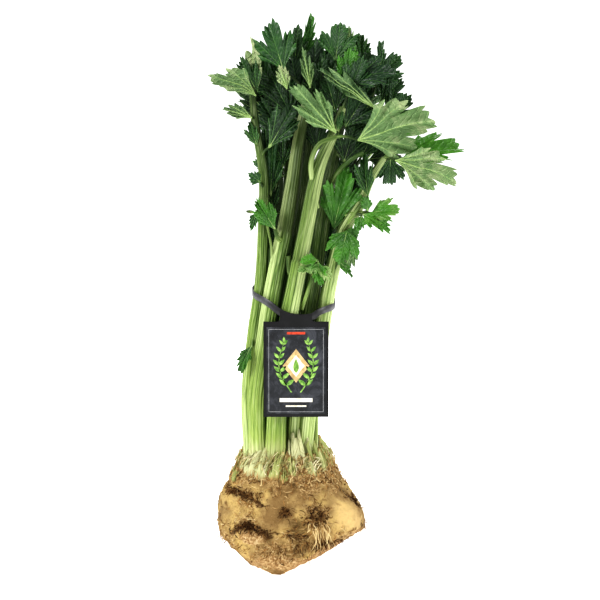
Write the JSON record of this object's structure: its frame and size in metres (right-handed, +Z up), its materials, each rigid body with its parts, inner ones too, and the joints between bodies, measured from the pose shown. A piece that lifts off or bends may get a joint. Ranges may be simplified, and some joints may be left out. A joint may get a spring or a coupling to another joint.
{
  "type": "celeriac root with leafy stalks",
  "caption": "Leafy celeriac: a rough round root trimmed flat below, ribbed stalks with toothed leaflets, and a hang tag looped round the stalks.",
  "frame": {"origin": "middle of the flat trimmed foot of the root, on the surface it stands on", "axes": "+Z up along the stalks, -Y towards the side where the tag hangs"},
  "size_m": [0.2086, 0.1279, 0.4677],
  "materials": {
    "root_skin": "rough",
    "stalk": "satin",
    "tag_card": "satin"
  },
  "bodies": {
    "root": {"root_bulb": "root_skin", "stalk_left": "stalk", "stalk_front_left": "stalk", "stalk_front": "stalk", "stalk_right": "stalk", "stalk_inner_right": "stalk", "stalk_back_left": "stalk", "stalk_back": "stalk", "stalk_back_right": "stalk", "stalk_far_right": "stalk", "stalk_core": "stalk", "stalk_core_left": "stalk", "hang_tag": "tag_card"}
  },
  "joints": []
}
